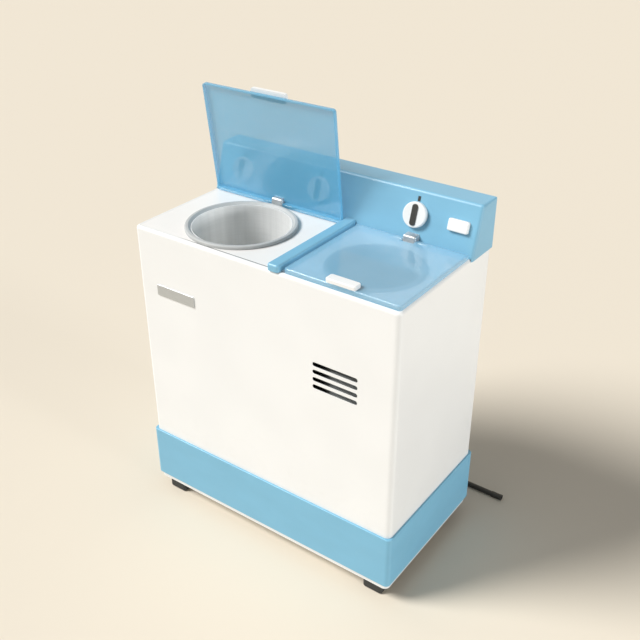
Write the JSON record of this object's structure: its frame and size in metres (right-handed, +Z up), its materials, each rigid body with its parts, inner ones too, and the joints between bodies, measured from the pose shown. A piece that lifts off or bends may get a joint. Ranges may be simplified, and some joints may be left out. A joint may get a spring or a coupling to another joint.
{
  "type": "twin tub washing machine",
  "caption": "Upright twin tub washing machine with a round wash tub, a spin basket, hinged lids, a sloped control panel with rotary dials, a skirt band and a drain hose.",
  "frame": {"origin": "on the floor, under the middle of the body (skirt band), drain hose left out", "axes": "+X to the right seen from the front, +Y to the back (control panel side), +Z up"},
  "size_m": [0.818, 0.5401, 1.1018],
  "materials": {
    "white_sheet": "stoved enamel, slight texture",
    "white_plastic": "satin moulding",
    "blue_plastic": "satin moulding",
    "clear_blue": "translucent tinted moulding, smooth",
    "grey_rubber": "matt moulded ring",
    "satin_tub": "satin spun bowl",
    "badge": "brushed, bare",
    "grey_hinge": "satin cast",
    "black_plastic": "fine grain",
    "black_rubber": "matt",
    "galvanised": "zinc coated sheet",
    "grey_plastic": "natural moulding",
    "cream_plastic": "phenolic moulding",
    "motor_paint": "satin enamel",
    "bright_steel": "turned",
    "cast_alloy": "as cast"
  },
  "bodies": {
    "cabinet": {"base_pan": "white_plastic", "foot_front_left": "black_rubber", "foot_front_right": "black_rubber", "foot_rear_left": "black_rubber", "foot_rear_right": "black_rubber", "skirt_band": "blue_plastic", "cabinet_shell": "white_sheet", "louvre_insert": "black_plastic", "badge_plate": "badge", "back_cover": "galvanised", "back_cover_screws": "bright_steel", "cord_gland": "black_rubber", "top_deck": "white_plastic", "divider_rib": "blue_plastic", "control_panel": "blue_plastic", "panel_rear_cover": "grey_plastic", "panel_marks": "black_plastic", "timers": "cream_plastic", "drain_selector": "cream_plastic", "button_switch": "cream_plastic", "wash_hinge_block": "grey_hinge", "spin_hinge_block": "grey_hinge", "hinge_pins": "bright_steel", "wash_tub": "satin_tub", "tub_lip": "white_plastic", "wash_ring": "grey_rubber", "bearing_housing": "cast_alloy", "drive_belt": "black_rubber", "wash_motor": "motor_paint", "motor_stand": "galvanised", "spin_case": "grey_plastic", "spin_ring": "grey_rubber", "spin_seal": "black_rubber", "spin_motor": "motor_paint", "spin_motor_mounts": "black_rubber", "drain_valve": "grey_plastic", "water_pipes": "grey_plastic", "control_wires": "black_plastic", "drain_hose": "black_rubber", "hose_end": "black_rubber"},
    "wash_lid": {"wash_lid": "clear_blue", "wash_lid_handle": "white_plastic"},
    "spin_lid": {"spin_lid": "clear_blue", "spin_lid_handle": "white_plastic"},
    "wash_timer_dial": {"wash_timer_knob": "white_plastic", "wash_timer_pointer": "black_plastic"},
    "selector_dial": {"drain_selector_knob": "white_plastic", "drain_selector_pointer": "black_plastic"},
    "spin_timer_dial": {"spin_timer_knob": "white_plastic", "spin_timer_pointer": "black_plastic"},
    "power_button": {"push_button": "white_plastic"},
    "pulsator_drive": {"pulsator": "blue_plastic", "pulsator_shaft": "bright_steel", "wash_pulley": "cast_alloy"},
    "motor_rotor": {"motor_pulley": "bright_steel"},
    "spin_rotor": {"spin_basket": "satin_tub", "spin_shaft": "bright_steel"},
    "brake": {"brake_lever": "galvanised"},
    "valve": {"valve_plunger": "black_rubber"},
    "filter": {"overflow_filter": "grey_plastic"}
  },
  "joints": [
    {"name": "wash_lid_hinge", "type": "hinge", "parent": "cabinet", "child": "wash_lid", "pos_m": [-0.16075, 0.0895, 0.8094], "axis": [-1, 0, 0], "range_deg": [-83, 2]},
    {"name": "spin_lid_hinge", "type": "hinge", "parent": "cabinet", "child": "spin_lid", "pos_m": [0.221, 0.0895, 0.8094], "axis": [1, 0, 0], "range_deg": [-85, 0]},
    {"name": "wash_timer_turn", "type": "hinge", "parent": "cabinet", "child": "wash_timer_dial", "pos_m": [-0.291, 0.11585, 0.86594], "axis": [0, -0.9537, 0.3007], "range_deg": [-300, 0]},
    {"name": "drain_selector_turn", "type": "hinge", "parent": "cabinet", "child": "selector_dial", "pos_m": [-0.052, 0.11585, 0.86594], "axis": [0, -0.9537, 0.3007], "range_deg": [-120, 0]},
    {"name": "spin_timer_turn", "type": "hinge", "parent": "cabinet", "child": "spin_timer_dial", "pos_m": [0.218, 0.11585, 0.86594], "axis": [0, -0.9537, 0.3007], "range_deg": [-300, 0]},
    {"name": "power_button_press", "type": "slide", "parent": "cabinet", "child": "power_button", "axis": [0, 0.9537, -0.3007], "range_m": [0, 0.003], "stiffness_N_per_m": 500, "springref_m": -0.002},
    {"name": "pulsator_spin", "type": "hinge", "parent": "cabinet", "child": "pulsator_drive", "pos_m": [-0.1585, -0.0555, 0.27], "axis": [0, 0, 1], "continuous": true},
    {"name": "motor_spin", "type": "hinge", "parent": "cabinet", "child": "motor_rotor", "pos_m": [-0.0635, 0.0645, 0.27], "axis": [0, 0, 1], "continuous": true},
    {"name": "basket_spin", "type": "hinge", "parent": "cabinet", "child": "spin_rotor", "pos_m": [0.222, -0.06, 0.4], "axis": [0, 0, 1], "continuous": true},
    {"name": "brake_swing", "type": "hinge", "parent": "cabinet", "child": "brake", "pos_m": [0.166, -0.105, 0.239], "axis": [0, 0, 1], "range_deg": [-2.5, 0]},
    {"name": "valve_lift", "type": "slide", "parent": "cabinet", "child": "valve", "axis": [0, 0, 1], "range_m": [0, 0.012]},
    {"name": "filter_lift", "type": "slide", "parent": "cabinet", "child": "filter", "axis": [0, 0, 1], "range_m": [0, 0.2]}
  ],
  "couplings": [
    {"joint": "motor_spin", "follows": "pulsator_spin", "ratio": 3.8804},
    {"joint": "brake_swing", "follows": "spin_lid_hinge", "ratio": 0.0294},
    {"joint": "drain_selector_turn", "follows": "valve_lift", "rad_per_m": -174.53}
  ]
}
